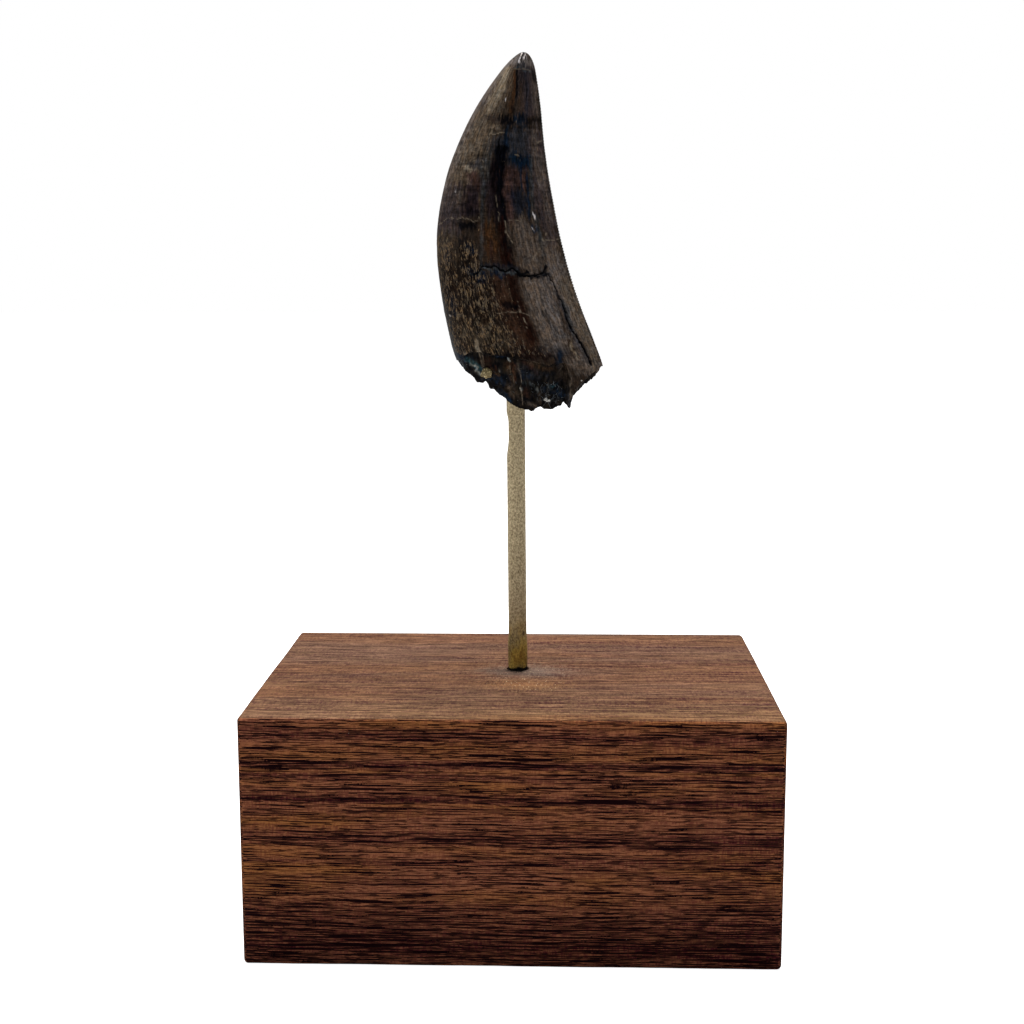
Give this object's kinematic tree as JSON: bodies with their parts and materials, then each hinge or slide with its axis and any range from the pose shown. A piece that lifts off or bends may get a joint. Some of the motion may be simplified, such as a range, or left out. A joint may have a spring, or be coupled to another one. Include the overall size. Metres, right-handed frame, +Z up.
{
  "type": "fossil tyrannosaur tooth",
  "caption": "Curved, serrated dinosaur tooth crown with a jagged broken root end, held upright on a brass rod in a rectangular walnut block, for display",
  "frame": {"origin": "centre of the block's underside", "axes": "+Z up from the surface it stands on; +X along the block's long side, towards the tooth's serrated edge; -Y the front, the side the tooth shows"},
  "size_m": [0.08, 0.055, 0.1362],
  "materials": {
    "fossil": "dark brown and blue-black fossil enamel, low sheen, with tan flecks and dull broken dentine",
    "brass": "unpolished, blasted and slightly tarnished",
    "walnut": "oiled, open-grained, low sheen"
  },
  "bodies": {
    "root": {"tooth": "fossil", "brass_rod": "brass", "walnut_block": "walnut"}
  },
  "joints": []
}
